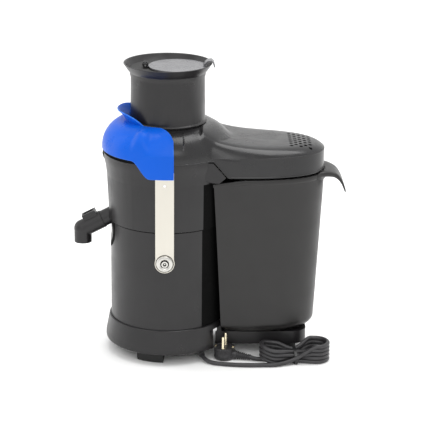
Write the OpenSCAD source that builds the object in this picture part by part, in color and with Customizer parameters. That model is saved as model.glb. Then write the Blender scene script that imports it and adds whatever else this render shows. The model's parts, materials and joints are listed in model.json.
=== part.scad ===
// Centrifugal juicer with a pulp bin, a folding clamp and a swivelling spout.
// Millimetres, +Z up, origin on the floor under the middle of the machine.
// The spout faces -X, the pulp bin stands on the +X side.

/* [Layout] */
// Distance of the motor spindle from the origin, towards the spout
spindle_offset = 66; // [60:0.5:72]
// Radius of the motor housing
housing_r = 88.5; // [86:0.5:89]
// Radius of the juice bowl wall
bowl_r = 91; // [90:0.5:92]
// Height of the joint between housing and bowl
seam_z = 213.8; // [212:0.2:215]
// Height of the bowl rim
rim_z = 319; // [318:0.5:320]
// Wall of the moulded shells
wall = 3; // [2.4:0.2:3.2]

/* [Feed tube] */
// Outer radius of the feed tube
tube_r = 57; // [55:0.5:58]
// Height of the tube mouth
mouth_z = 456; // [450:1:460]
// Radius of the flared mouth
mouth_r = 66; // [64:0.5:68]
// Offset of the feed chute from the spindle, towards the bin
chute_x = 14.7; // [12:0.1:15]
// Outer radius of the feed chute
chute_r = 39; // [36:0.5:39]

/* [Lid] */
// Radius of the domed part of the lid
dome_r = 96.5; // [96:0.1:96.8]
// Half width of the pulp hood
hood_w = 74; // [72:0.5:74]
// Distance from the spindle to the end of the hood
hood_end = 240; // [236:0.5:240]
// Columns of vent holes in the hood
vent_columns = 5; // [3:1:6]

/* [Clamp] */
// Distance of the clamp pivot from the spindle, towards the spout
pivot_x = 4.8; // [4:0.2:6]
// Height of the clamp pivot
pivot_z = 167.4; // [165:0.2:170]
// Width of each clamp bar
bar_w = 28; // [24:1:30]
// Thickness of each clamp bar
bar_t = 2.5; // [2:0.1:2.6]
// Distance of the inner face of each bar from the middle
bar_y = 95; // [94.5:0.1:95.4]

/* [Pulp bin] */
// Height of the bin floor's underside
bin_z0 = 38; // [37.8:0.1:39]
// Height of the bin rim
bin_z1 = 290; // [286:1:290]
// Half depth of the bin at the rim
bin_w = 70; // [66:0.5:70]

/* [Spout] */
// Slope of the spout neck below the horizontal
spout_slope = 27; // [24:1:30]
// Outer radius of the spout elbow
spout_r = 13.7; // [13:0.1:14]
// Bore radius of the spout elbow
spout_bore_r = 9; // [8:0.5:10]

/* [Cord] */
// Diameter of the mains cord
cord_d = 6.5; // [6:0.1:7]

/* [Hidden] */

$fn = 72;
fit = 0.05;
gap = 0.3;
plastic = [0.23, 0.225, 0.23];
dark = [0.08, 0.08, 0.085];
steel = [0.8, 0.8, 0.78];
copper = [0.72, 0.42, 0.2];
blue = [0.0, 0.4, 0.9];

ring_z0 = 17.5;
ring_z1 = 56;
deck_z = 200;
tongue_z = bin_z0 - gap;
tongue_x1 = 216;
tongue_w = 44;
notch_x = 70;
screw_turns = [60, 180, 300];
shaft_r = 6;
bearing_r = 16;
stator_r = 56;
dome_edge_z = 325;
dome_h = 40;
hood_edge_z = 312;
flap_r = 44;
flap_z = 449;
flap_pin_x = -34;
flap_pin_z = 452.5;
bin_x0 = 118;
spout_joint = [-100, 0, 208.5];
elbow_run = 35.4;
outlet_z = 171.5;
switch_turn = 128;
safety_turn = 100;
plug_at = [87.5, -61.5, 0];
plug_turn = -14;
plug_r = 16.5;
plug_h = 20;
hank_turn = 5;
hank_at = [196, -70, 0];
hank_half = 32;
hank_r = 22.8;
hank_h = 31.6;

// --- helpers ---

module at_spindle() {
    translate([-spindle_offset, 0, 0]) children();
}

module tube_z(r_out, r_in, z0, z1) {
    translate([0, 0, z0])
        difference() {
            cylinder(h = z1 - z0, r = r_out);
            translate([0, 0, -1]) cylinder(h = z1 - z0 + 2, r = r_in);
        }
}

module both_sides() {
    for (side = [-1, 1])
        scale([1, side, 1]) children();
}

// Joins rings of equal point counts into one closed skin with flat ends.
module loft(rings) {
    count = len(rings[0]);
    last = len(rings) - 1;
    sides = [for (k = [0 : last - 1], i = [0 : count - 1])
        let (j = (i + 1) % count)
        [k * count + i, (k + 1) * count + i, (k + 1) * count + j, k * count + j]];
    low = [for (i = [0 : count - 1]) i];
    high = [for (i = [count - 1 : -1 : 0]) last * count + i];
    polyhedron([for (ring = rings) each ring], concat([low, high], sides), convexity = 6);
}

// Joins rings into a closed band: the last ring meets the first again.
module closed_band(rings) {
    count = len(rings[0]);
    total = len(rings);
    polyhedron([for (ring = rings) each ring],
        [for (k = [0 : total - 1], i = [0 : count - 1])
            let (j = (i + 1) % count, n = (k + 1) % total)
            [k * count + i, k * count + j, n * count + j, n * count + i]],
        convexity = 8);
}

function mix(a, b, t) = a + (b - a) * t;
function smooth(t) = let (u = min(max(t, 0), 1)) u * u * (3 - 2 * u);
function smooth_max(a, b, k) = let (h = max(k - abs(a - b), 0) / k) max(a, b) + h * h * k / 4;
function spow(v, p) = sign(v) * pow(abs(v), p);

// Closed outline of a dome circle with a hood that ends in a soft point, anticlockwise.
function hood_outline(r, w, x_mid, x_end, arc_n = 30, side_n = 8, end_n = 18) =
    let (start = acos(sqrt(r * r - w * w) / r))
    concat(
        [for (i = [0 : end_n - 1])
            let (t = -90 + 180 * i / end_n)
            [x_mid + (x_end - x_mid) * spow(cos(t), 0.87), w * spow(sin(t), 0.87)]],
        [for (i = [0 : side_n - 1]) [mix(x_mid, r * cos(start), i / side_n), w]],
        [for (i = [0 : arc_n]) let (a = start + (360 - 2 * start) * i / arc_n) [r * cos(a), r * sin(a)]],
        [for (i = [1 : side_n - 1]) [mix(r * cos(start), x_mid, i / side_n), -w]]
    );

function ridge_z(x) = x < 52 ? 362 - (52 - x) * 2 : 336 + 26 * exp(-(x - 52) / 38);
function hood_z(x, y) =
    let (
        u = max(0, (x - bin_x0) / (hood_end - bin_x0)),
        v = min(1, abs(y) / hood_w),
        q = min(1, pow(pow(u, 2.3) + pow(v, 2.3), 1 / 2.3))
    )
    hood_edge_z + (ridge_z(x) - v * v - hood_edge_z) * sqrt(max(0, 1 - pow(q, 11)));
function dome_z(r) =
    let (u = min(1, max(0, r - tube_r) / (dome_r - tube_r)))
    dome_edge_z + dome_h * sqrt(max(0, 1 - u * u));
function lid_z(x, y) = smooth_max(dome_z(norm([x, y])), hood_z(x, y), 12);
function skirt_z(x) = max(294, min(rim_z + 0.6, rim_z + 0.6 - 1.16 * (x - 68.5)));

// --- base and feet ---

module base() {
    color(plastic)
    at_spindle()
        difference() {
            union() {
                difference() {
                    base_ring();
                    notch_sides(notch_x);
                }
                intersection() {
                    translate([0, 0, ring_z0]) cylinder(h = 32, r = 95);
                    difference() {
                        translate([notch_x - wall, -72, ring_z0]) cube([wall, 144, 30]);
                        translate([notch_x - 10, -tongue_w + 1, 0]) cube([20, 2 * tongue_w - 2, 60]);
                    }
                }
                tongue_shape(tongue_z, 0);
            }
            tongue_shape(tongue_z - wall, wall);
            translate([notch_x - 20, -tongue_w + wall, ring_z0 - 1]) cube([30, 2 * (tongue_w - wall), 15]);
        }
}

module base_ring() {
    rotate_extrude()
        polygon([[88, 17.5], [94, 17.5], [96, 19], [96.7, 22], [96.4, 28], [91.4, 55], [90, 56],
            [housing_r + 0.1, 56], [housing_r + 0.1, 49.8], [84, 49.8], [84, 47], [88, 47], [88, 20]]);
}

// The ring is cut back beside the tongue, on both sides, up to just under the housing.
module notch_sides(x) {
    for (side = [-1, 1])
        scale([1, side, 1])
            translate([x, tongue_w, ring_z0 - 1]) cube([60, 60, 31]);
}

module tongue_shape(top, inset) {
    bottom = inset > 0 ? ring_z0 - 1 : ring_z0;
    translate([0, 0, bottom])
        linear_extrude(height = top - bottom)
            difference() {
                union() {
                    translate([60, -tongue_w + inset]) square([tongue_x1 - 80, 2 * (tongue_w - inset)]);
                    for (side = [-1, 1])
                        translate([tongue_x1 - 22, side * (tongue_w - 22)]) circle(r = 22 - inset);
                    translate([tongue_x1 - 22, -22]) square([22 - inset, 44]);
                }
                circle(r = 86);
            }
}

module bottom_plate() {
    color(dark)
    at_spindle()
        difference() {
            translate([0, 0, ring_z0 + 1]) cylinder(h = 3, r = 85.7);
            translate([notch_x - wall - 0.2, -90, 0]) cube([60, 180, 60]);
            for (i = [0 : 11])
                rotate(i * 30 + 15)
                    translate([30, -2, ring_z0]) cube([22, 4, 6]);
            for (a = screw_turns)
                rotate(a)
                    translate([76, 0, ring_z0]) cylinder(h = 6, r = 2.2);
        }
}

module foot(angle) {
    color(dark)
    at_spindle()
        rotate(angle)
            difference() {
                    rotate([0, 0, -15])
                        rotate_extrude(angle = 30)
                            polygon([[58, 2], [60, 0], [81, 0], [83, 2], [84, 18.5], [57, 18.5]]);
                translate([71, 0, -1]) cylinder(h = 12, r = 4);
            }
}

module foot_front_near() { foot(-110); }
module foot_front_far() { foot(110); }

module rear_foot(side) {
    color(dark)
    at_spindle()
        translate([188, side * 27, 0])
            difference() {
                union() {
                    cylinder(h = tongue_z - wall, r = 9);
                    cylinder(h = 17.4, r1 = 12, r2 = 13);
                }
                translate([0, 0, -1]) cylinder(h = 8, r = 4);
            }
}

module foot_rear_near() { rear_foot(-1); }
module foot_rear_far() { rear_foot(1); }

module plate_screws() {
    color(steel)
    at_spindle()
        for (a = screw_turns)
            rotate(a)
                translate([76, 0, 0]) {
                    translate([0, 0, ring_z0 - 1.5]) cylinder(h = 2.5, r = 4);
                    translate([0, 0, ring_z0 + 1]) cylinder(h = 14, r = 2);
                }
}

// --- motor housing and motor ---

module motor_housing() {
    color(plastic)
    at_spindle()
        difference() {
            union() {
                tube_z(housing_r, housing_r - wall, 50, seam_z);
                tube_z(housing_r - wall + 0.5, 13.5, deck_z - wall, deck_z);
                for (a = screw_turns)
                    rotate(a)
                        translate([78, 0, ring_z0 + 4]) {
                            cylinder(h = 46, r = 5);
                            translate([0, -5, 32]) cube([10, 10, 14]);
                        }
            }
            for (a = screw_turns)
                rotate(a)
                    translate([76, 0, ring_z0]) cylinder(h = 18, r = 2.1);
            for (i = [0 : 3])
                rotate(45 + 90 * i)
                    translate([65, 0, deck_z - 10]) cylinder(h = 20, r = 3.2);
            translate(spout_joint)
                rotate([0, -90 - spout_slope, 0])
                    translate([0, 0, -30]) cylinder(h = 60, r = 15.5);
            translate([-100, -17, 197]) cube([30, 34, 20]);
            translate([-100, 0, 197])
                rotate([0, 90, 0]) cylinder(h = 30, r = 17);
            rotate(switch_turn) {
                translate([70, -11, 109]) cube([30, 22, 32]);
                translate([86.4, -13.1, 106.9]) cube([30, 26.2, 36.2]);
            }
            rotate(safety_turn)
                translate([67, 0, deck_z - 10]) cylinder(h = 20, r = 2.3);
            translate([-pivot_x, -120, pivot_z])
                rotate([-90, 0, 0]) cylinder(h = 240, r = 4.2);
        }
}

module motor_plate() {
    color(steel)
    at_spindle()
        difference() {
            translate([0, 0, 176]) cylinder(h = 3, r = 76);
            translate([0, 0, 170]) cylinder(h = 20, r = 20);
            for (i = [0 : 3])
                rotate(45 + 90 * i)
                    translate([65, 0, 170]) cylinder(h = 20, r = 3.2);
        }
}

module motor_dampers() {
    color(dark)
    at_spindle()
        for (i = [0 : 3])
            rotate(45 + 90 * i)
                translate([65, 0, 179])
                    difference() {
                        union() {
                            cylinder(h = 5, r = 9);
                            cylinder(h = deck_z - wall - 179, r = 7.5);
                            translate([0, 0, deck_z - wall - 184]) cylinder(h = 5, r = 9);
                        }
                        translate([0, 0, -1]) cylinder(h = 30, r = 3.2);
                    }
}

module motor_screws() {
    color(steel)
    at_spindle()
        for (i = [0 : 3])
            rotate(45 + 90 * i)
                translate([65, 0, 0]) {
                    translate([0, 0, 171]) cylinder(h = 5, r = 5, $fn = 6);
                    translate([0, 0, 175]) cylinder(h = deck_z - 174, r = 3);
                    translate([0, 0, deck_z]) cylinder(h = 1.8, r = 6);
                }
}

module end_bell(z, up) {
    color(steel)
    at_spindle()
        translate([0, 0, z])
            scale([1, 1, up])
                difference() {
                    union() {
                        cylinder(h = 4, r = stator_r + 2);
                        cylinder(h = 12, r = bearing_r + 4);
                    }
                    translate([0, 0, 2]) cylinder(h = 12, r = bearing_r);
                    translate([0, 0, -1]) cylinder(h = 6, r = 9);
                    for (i = [0 : 5])
                        rotate(i * 60)
                            translate([38, 0, -1]) cylinder(h = 6, r = 9);
                }
}

module end_bell_lower() { end_bell(88, -1); }
module end_bell_upper() { end_bell(164, 1); }

module bearing(z) {
    color(steel)
    at_spindle()
        difference() {
            translate([0, 0, z]) cylinder(h = 9.5, r = bearing_r);
            translate([0, 0, z - 1]) cylinder(h = 12, r = shaft_r + fit);
            translate([0, 0, z + 8.5]) tube_z(13.5, 9, 0, 2);
        }
}

module bearing_lower() { bearing(76.5); }
module bearing_upper() { bearing(166.2); }

module motor_stator() {
    color([0.35, 0.36, 0.38])
    at_spindle()
        difference() {
            translate([0, 0, 88]) cylinder(h = 76, r = stator_r);
            translate([0, 0, 80]) cylinder(h = 100, r = 34);
            translate([0, 0, 80]) tube_z(48, 34, 0, 24);
            translate([0, 0, 148]) tube_z(48, 34, 0, 24);
        }
}

module motor_windings() {
    color(copper)
    at_spindle()
        for (z = [98, 154])
            translate([0, 0, z])
                rotate_extrude()
                    translate([41.5, 0]) circle(r = 5.9, $fn = 32);
}

module motor_rotor() {
    color([0.45, 0.45, 0.47])
    at_spindle()
        tube_z(33, shaft_r, 100, 152);
}

module motor_shaft() {
    color(steel)
    at_spindle()
        union() {
            translate([0, 0, 54]) cylinder(h = 190, r = shaft_r);
            translate([0, 0, 243]) cylinder(h = 8.5, r = 4);
        }
}

module cooling_fan() {
    color(dark)
    at_spindle() {
        tube_z(14, shaft_r, 56, 72);
        tube_z(50, 13, 56, 58);
        for (i = [0 : 8])
            rotate(i * 40)
                translate([13, -1, 57.5]) cube([35, 2, 12]);
    }
}

module shaft_seal() {
    color(dark)
    at_spindle() {
        tube_z(13.5, shaft_r + 0.1, deck_z - wall, deck_z + 2);
        tube_z(17, 12, deck_z, deck_z + 2);
    }
}

// --- spinning filter ---

module drive_coupling() {
    color(dark)
    at_spindle()
        difference() {
            union() {
                translate([0, 0, 204]) cylinder(h = 22, r = 15);
                for (i = [0 : 5])
                    rotate(i * 60)
                        translate([11.4, 0, 225]) cylinder(h = 9, r = 3.2);
            }
            translate([0, 0, 200]) cylinder(h = 40, r = shaft_r);
        }
}

module filter_basket() {
    color(steel)
    at_spindle()
        difference() {
            rotate_extrude()
                polygon([
                    [shaft_r, 226], [8, 226], [8, 236], [18, 236], [26, 240], [65, 240], [67, 242], [84, 304],
                    [87, 306], [87, 307.5], [83, 307.5], [82, 305], [65.8, 243.5], [64.5, 241.5],
                    [shaft_r, 241.5]
                ]);
            for (row = [0 : 2], i = [0 : 23])
                rotate(i * 15 + row * 7.5)
                    translate([60, 0, 254 + row * 16])
                        rotate([0, 90, 0]) cylinder(h = 30, r = 2, $fn = 16);
        }
}

module grating_disc() {
    color(steel)
    at_spindle() {
        tube_z(62, 8, 241.6, 243.4);
        for (ring = [0 : 3], i = [0 : 11])
            rotate(i * 30 + ring * 15)
                translate([20 + ring * 11, 0, 243])
                    cylinder(h = 2.2, r1 = 2.4, r2 = 0.8, $fn = 16);
    }
}

module basket_nut() {
    color(dark)
    at_spindle()
        difference() {
            union() {
                translate([0, 0, 243.5]) cylinder(h = 9, r = 12);
                for (i = [0 : 5])
                    rotate(i * 60)
                        translate([11, 0, 243.5]) cylinder(h = 8, r = 3);
            }
            translate([0, 0, 240]) cylinder(h = 4.1, r = 6.1);
            translate([0, 0, 243]) cylinder(h = 8.5, r = 4);
        }
}

// --- bowl and spout ---

module spout_axis(along = 0) {
    translate(spout_joint)
        rotate([0, -90 - spout_slope, 0])
            translate([0, 0, along]) children();
}

module ear_side(y0, y1) {
    translate([0, y1, 0])
        rotate([90, 0, 0])
            linear_extrude(height = y1 - y0)
                polygon([
                    [30, 293], [53, 292], [66, 287], [77, 285.8], [87.5, 295], [68, 317.5], [30, 317.5]
                ]);
}

module juice_bowl() {
    color(plastic)
    at_spindle()
        difference() {
            union() {
                difference() {
                    rotate_extrude()
                        polygon([
                            [84, 203], [84.8, seam_z], [bowl_r, seam_z], [91.5, 285], [92.5, 300],
                            [94.5, 311], [94.7, rim_z], [91.7, rim_z], [91.4, 312], [89.6, 301], [88.5, 286],
                            [88, 217], [82, 213], [80, 206], [27, 211], [24.5, 230], [21.5, 230],
                            [23.5, 207.5], [79, 202.5]
                        ]);
                    translate([40, -56, 293]) cube([80, 112, 40]);
                }
                difference() {
                    ear_side(-73.5, 73.5);
                    translate([0, -70.5, 289]) cube([120, 141, 40]);
                    translate([0, -70.5, 280]) cube([62, 141, 40]);
                    translate([0, 0, 280]) cylinder(h = 60, r = 90);
                }
            }
            spout_axis(-28) cylinder(h = 60, r = 8.5);
        }
}

module spout_neck() {
    color(plastic)
    at_spindle()
        difference() {
            union() {
                spout_axis(-16) cylinder(h = 16, r = 12.7);
                spout_axis(-1) cylinder(h = 12.5, r = 11);
            }
            spout_axis(-28) cylinder(h = 60, r = 8.5);
            spout_axis(4.5) tube_z(20, 9.6, 0, 2.4);
            translate([0, 0, seam_z - 0.05]) cylinder(h = 40, r = 91.15);
            translate([0, 0, 190]) cylinder(h = 30, r = 84.95);
        }
}

module bowl_catch() {
    color(dark)
    at_spindle()
        translate([0, 8, 0])
            rotate([90, 0, 0])
                linear_extrude(height = 16)
                    polygon([
                        [-94.6, 307], [-96.5, 306.5], [-98.5, 309.5], [-100, 316], [-99, 318.6],
                        [-96, 318.6], [-95, 312]
                    ]);
}

module bowl_gasket() {
    color(dark)
    at_spindle()
        difference() {
            tube_z(94, 91.9, rim_z, rim_z + 1.2);
            translate([40, -60, rim_z - 1]) cube([80, 120, 4]);
        }
}

module spout_o_ring() {
    color([0.5, 0.12, 0.08])
    at_spindle()
        spout_axis(4.6) tube_z(11.02, 9.6, 0, 2.2);
}

module spout_elbow() {
    color(plastic)
    at_spindle()
        difference() {
            union() {
                spout_axis(0.3) cylinder(h = elbow_run, r = spout_r);
                spout_axis(elbow_run) sphere(r = spout_r + 0.2);
                elbow_drop(spout_r - 0.1, 0);
                spout_axis(5)
                    translate([11, -8, 0])
                        thumb_tab();
            }
            spout_axis(-1) cylinder(h = 13.2, r = 11.07);
            spout_axis(5) cylinder(h = elbow_run - 3, r = spout_bore_r);
            spout_axis(elbow_run) sphere(r = spout_bore_r + 0.9);
            elbow_drop(spout_bore_r + 1.4, 1);
        }
}

module elbow_drop(r, extra) {
    top = spout_joint[2] - elbow_run * sin(spout_slope);
    translate([spout_joint[0] - elbow_run * cos(spout_slope), 0, outlet_z - extra])
        cylinder(h = top - outlet_z + extra - (extra > 0 ? 4 : 0), r = r);
}

module thumb_tab() {
    difference() {
        cube([9, 16, 22]);
        translate([7.5, 3, 3]) cube([3, 10, 16]);
    }
}

// --- lid and feed ---

module lid() {
    outline = hood_outline(dome_r, hood_w, bin_x0, hood_end);
    inside = hood_outline(dome_r - 2.2, hood_w - 2.6, bin_x0, hood_end - 2.6);
    steps = [0, 0.16, 0.32, 0.48, 0.62, 0.74, 0.84, 0.91, 0.96, 0.99, 1];
    hole = tube_r + 0.3;
    outer = [for (s = steps) [for (p = outline)
        let (q = mix(p / norm(p) * hole, p, s)) [q[0], q[1], lid_z(q[0], q[1])]]];
    hem_out = [for (p = outline) [p[0], p[1], skirt_z(p[0])]];
    hem_in = [for (p = inside) [p[0], p[1], skirt_z(p[0])]];
    inner = [for (k = [len(steps) - 1 : -1 : 0]) [for (p = inside)
        let (q = mix(p / norm(p) * hole, p, steps[k])) [q[0], q[1], lid_z(q[0], q[1]) - 2.6]]];
    color(plastic)
    at_spindle()
        difference() {
            closed_band(concat(outer, [hem_out, hem_in], inner));
            for (c = [0 : vent_columns - 1], r = [-3 : 3])
                translate([187 + c * 7.2, r * 11.6 + (c % 2) * 5.8 - 2.9, 318])
                    cylinder(h = 60, r = 3, $fn = 6);
        }
}

module feed_tube() {
    color(plastic)
    at_spindle()
        rotate_extrude()
            polygon([
                [54.4, 359.5], [tube_r, 359.5], [tube_r, 366.4], [59.4, 366.4], [59.8, 367.4], [58.5, 368.8],
                [tube_r, 369.4], [56.2, 434], [57.4, 438], [58, 442], [61, 446], [mouth_r - 1, mouth_z - 2],
                [mouth_r, mouth_z - 0.8], [mouth_r - 0.6, mouth_z], [mouth_r - 2.2, mouth_z - 0.6],
                [59.5, 448], [55.6, 443], [53.8, 434]
            ]);
}

module feed_chute() {
    color(plastic)
    at_spindle()
        difference() {
            union() {
                rotate_extrude()
                    polygon([[0, 443.5], [54, 443.5], [55.4, 445], [57.6, 447.2], [57, 448], [0, 447.2]]);
                translate([chute_x, 0, 258]) cylinder(h = 187, r = chute_r);
                translate([0, 0, 359.5]) cylinder(h = 3, r = 54.3);
            }
            translate([chute_x, 0, 250]) cylinder(h = 230, r = chute_r - 2.4);
        }
}

module flap_bracket() {
    color(dark)
    at_spindle()
        both_sides()
            translate([flap_pin_x, 8.2, flap_pin_z])
                rotate([90, 0, 0])
                    difference() {
                        union() {
                            cylinder(h = 3.2, r = 3.4);
                            translate([-3.4, -4.9, 0]) cube([6.8, 4.9, 3.2]);
                        }
                        translate([0, 0, -1]) cylinder(h = 6, r = 1.5);
                    }
}

module flap_pin() {
    color(steel)
    at_spindle()
        translate([flap_pin_x, 8.4, flap_pin_z])
            rotate([90, 0, 0]) cylinder(h = 16.8, r = 1.5);
}

module feed_flap() {
    color([0.5, 0.5, 0.51])
    at_spindle()
        difference() {
            union() {
                translate([chute_x, 0, flap_z]) cylinder(h = 2, r = flap_r);
                translate([flap_pin_x, 4.6, flap_pin_z])
                    rotate([90, 0, 0]) cylinder(h = 9.2, r = 3.2);
                translate([flap_pin_x, -4.6, flap_z]) cube([8, 9.2, 2]);
                translate([0, 9, 0])
                    rotate([90, 0, 0])
                        linear_extrude(height = 18)
                            polygon([
                                [53, flap_z], [55, flap_z], [57.5, 454], [61, 457.6], [65, 458.4],
                                [67.6, 456.4], [70, 449.5], [71.5, 450.2], [69.4, 457.6], [66, 460.2],
                                [60, 459.4], [55.6, 455.6], [53, flap_z + 2]
                            ]);
            }
            translate([flap_pin_x, 10, flap_pin_z])
                rotate([90, 0, 0]) cylinder(h = 20, r = 1.5 + fit);
        }
}

// --- clamp ---

module at_pivots() {
    at_spindle()
        both_sides()
            translate([-pivot_x, 0, pivot_z])
                rotate([-90, 0, 0]) children();
}

module pivot_bosses() {
    color(dark)
    at_pivots()
        difference() {
            union() {
                translate([0, 0, 77.5]) cylinder(h = 6.6, r = 9);
                translate([0, 0, 80]) cylinder(h = bar_y - gap - 80, r = 4.1);
                translate([0, 0, 88.7]) cylinder(h = bar_y - gap - 88.7, r = 12);
            }
            translate([0, 0, 70]) cylinder(h = 30, r = 2.6);
        }
}

module pivot_screws() {
    color(steel)
    at_pivots()
        difference() {
            union() {
                translate([0, 0, 76]) cylinder(h = 20, r = 2.5);
                translate([0, 0, bar_y - gap]) cylinder(h = bar_t + 2 * gap + 1, r = 4);
                translate([0, 0, bar_y + bar_t + 1.2]) cylinder(h = 3.2, r = 5);
            }
            translate([0, 0, bar_y + bar_t + 2.4]) cylinder(h = 4, r = 2.9, $fn = 6);
        }
}

module pivot_cups() {
    color(steel)
    at_pivots()
        difference() {
            rotate_extrude()
                polygon([[4, bar_y + bar_t + gap], [12, bar_y + bar_t + gap], [13, bar_y + bar_t + 0.8],
                    [12, bar_y + bar_t + 2.6], [9.5, bar_y + bar_t + 3.2], [6.5, bar_y + bar_t + 2.2],
                    [6.5, bar_y + bar_t + 1.2], [4, bar_y + bar_t + 1.2]]);
        }
}

module clamp_bar() {
    color(steel)
    at_spindle()
        translate([-pivot_x, bar_y, pivot_z])
            rotate([-90, 0, 0])
                difference() {
                    union() {
                        cylinder(h = bar_t, r = bar_w / 2 + 1);
                        translate([-bar_w / 2, -142, 0]) cube([bar_w, 142, bar_t]);
                    }
                    translate([0, 0, -1]) cylinder(h = bar_t + 2, r = 4 + fit);
                    for (h = [122, 134])
                        translate([0, -h, -1]) cylinder(h = bar_t + 2, r = 2.1);
                }
}

module clamp_bar_near() { mirror([0, 1, 0]) clamp_bar(); }
module clamp_bar_far() { clamp_bar(); }

// The clamp's shell follows the dome, with a lip around the feed tube and a flat arm on each side.
yoke_turn = 95;
function yoke_start(a) = let (b = abs(a)) b < 55 ? 61.5 : 61.5 + 32 * pow(max(0, (b - 76) / 19), 2);
function lip_r(a) = 76 - 14 * pow(min(abs(a), 56) / 56, 2);
function lip_z(a) = mix(386, 368.5, pow(min(abs(a), 56) / 56, 4));
function hem_z(a) = mix(324.5, 299, smooth((abs(a) - 57) / 17));
function yoke_dome(r, lift) =
    let (u = min(1, max(0, r - 59) / (dome_r + 1 + lift - 59)))
    327 + (dome_h + lift) * sqrt(max(0, 1 - u * u));
function polar(a, r, z) = [-r * cos(a), r * sin(a), z];

module clamp_yoke() {
    turns = [for (a = [yoke_turn : -5 : -yoke_turn]) a];
    section = [for (a = turns)
        let (
            r0 = yoke_start(a),
            has_lip = abs(a) < 56,
            edge = dome_r + 4.2,
            outer = [for (s = [0, 0.25, 0.5, 0.7, 0.85, 0.95, 1])
                let (r = mix(r0 + 2.5, edge, s)) polar(a, r, yoke_dome(r, 3.2))],
            inner = [for (s = [1, 0.95, 0.85, 0.7, 0.5, 0.25, 0])
                let (r = mix(r0, dome_r + 1.1, s)) polar(a, r, yoke_dome(r, 0.2))]
        )
        concat(
            [polar(a, has_lip ? lip_r(a) : r0, has_lip ? lip_z(a) : yoke_dome(r0, 1.6)),
             polar(a, has_lip ? lip_r(a) + 1 : r0 + 0.8, has_lip ? lip_z(a) - 2 : yoke_dome(r0, 1.8))],
            outer,
            [polar(a, edge, hem_z(a)), polar(a, dome_r + 1.1, hem_z(a))],
            inner
        )];
    color(blue)
    at_spindle()
        loft(section);
}

module yoke_screws() {
    color(steel)
    at_spindle()
        both_sides()
            for (h = [122, 134])
                translate([-pivot_x, bar_y - 1.2, pivot_z + h])
                    rotate([-90, 0, 0]) {
                        cylinder(h = 1.2, r = 3.6);
                        cylinder(h = bar_t + 1.2, r = 2);
                    }
}

// --- pulp bin ---

// One ring of the bin's skin. The rim dips where the bin hugs the bowl.
function bin_ring(z, inset, dip = 0) =
    let (
        t = (z - bin_z0) / (bin_z1 - bin_z0),
        rise = z - bin_z0 - (inset > 0 ? wall : 0),
        corner = 14 * pow(max(0, 1 - rise / 16), 2),
        hug = mix(101, 96, t) + inset,
        w = mix(61, bin_w, t) - inset - corner,
        end = mix(228, 241, t) - inset - corner,
        side = asin(w / (hug + corner))
    )
    [for (i = [0 : 36])
        let (
            a = i < 25 ? -90 + 180 * i / 24 : side - 2 * side * (i - 25) / 11,
            x = i < 25 ? bin_x0 + (end - bin_x0) * spow(cos(a), 0.87) : (hug + corner) * cos(a),
            y = i < 25 ? w * spow(sin(a), 0.87) : (hug + corner) * sin(a)
        )
        [x, y, z - dip * smooth((100 - x) / 10)]];

module pulp_bin() {
    outer = [for (z = [bin_z0, bin_z0 + 4, bin_z0 + 8, bin_z0 + 12, bin_z0 + 16]) bin_ring(z, 0)];
    inner = [for (z = [bin_z0 + wall + 16, bin_z0 + wall + 8, bin_z0 + wall]) bin_ring(z, wall)];
    color(plastic)
    at_spindle()
        union() {
            loft(concat(outer, [bin_ring(bin_z1, 0, 7), bin_ring(bin_z1, wall, 7)], inner));
            bin_handle();
        }
}

module bin_handle() {
    translate([0, 30, 0])
        rotate([90, 0, 0])
            linear_extrude(height = 60)
                polygon([
                    [239, 284], [241, 290], [241.2, 303], [243.6, 304], [252, 299.5], [260, 292.5],
                    [267, 284], [272, 274], [275.5, 263.5], [277.24, 254], [274.6, 253.6], [272.6, 262], [269, 272],
                    [264, 281], [257.5, 288.5], [250, 293.6], [244.2, 296], [243.6, 288], [240.6, 276],
                    [238, 276]
                ]);
}

// --- controls and mains cord ---

module safety_switch() {
    color(dark)
    at_spindle()
        rotate(safety_turn) {
            translate([58, -10, 186]) cube([18, 20, 10.8]);
            translate([67, 0, 196]) cylinder(h = 6, r = 2);
        }
}

module switch_frame() {
    color(dark)
    at_spindle()
        rotate(switch_turn)
            difference() {
                union() {
                    translate([86.5, -13, 107]) cube([4, 26, 36]);
                    translate([70, -11, 109]) cube([18, 22, 32]);
                }
                translate([76, -8, 113]) cube([20, 16, 24]);
            }
}

module switch_rocker() {
    color([0.1, 0.45, 0.2])
    at_spindle()
        rotate(switch_turn)
            translate([86, 7.5, 125])
                rotate([90, 0, 0])
                    linear_extrude(height = 15)
                        polygon([[-8, -7], [1, -11], [3.6, -11], [2.8, 0], [6.4, 10.4], [1, 11], [-8, 7]]);
}

module cord_gland() {
    color(dark)
    at_spindle()
        difference() {
            union() {
                translate([46, -50, 7]) cylinder(h = ring_z0 + 0.8 - 7, r = 8);
                at_gland(0) cylinder(h = 22, r1 = 6.2, r2 = 4.4);
            }
            at_gland(9) cylinder(h = 20, r = cord_d / 2);
        }
}

module at_gland(along) {
    translate([46, -50, 12])
        rotate([0, 100, -70])
            translate([0, 0, along]) children();
}

// The cord's route from the gland to the hank, as points on its centreline.
cord_route = [
    [49.2, -58.8, 10.4], [53.4, -70.3, 8.2], [56.6, -77.4, 6.2], [62, -84, 4.4], [71, -89.5, 3.5],
    [84, -93.5, 3.5], [97, -96.2, 3.5], [110, -97.8, 3.5], [123, -98.6, 3.5], [136, -98.8, 3.5],
    [146, -98.4, 3.5]
];
// The return from the hank to the plug.
lead_route = [
    [141, -73.9, 3.5], [137.6, -73.9, 3.7], [134, -73.4, 4.4], [130.6, -72.4, 5], [127.6, -71.5, 5.6]
];

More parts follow.
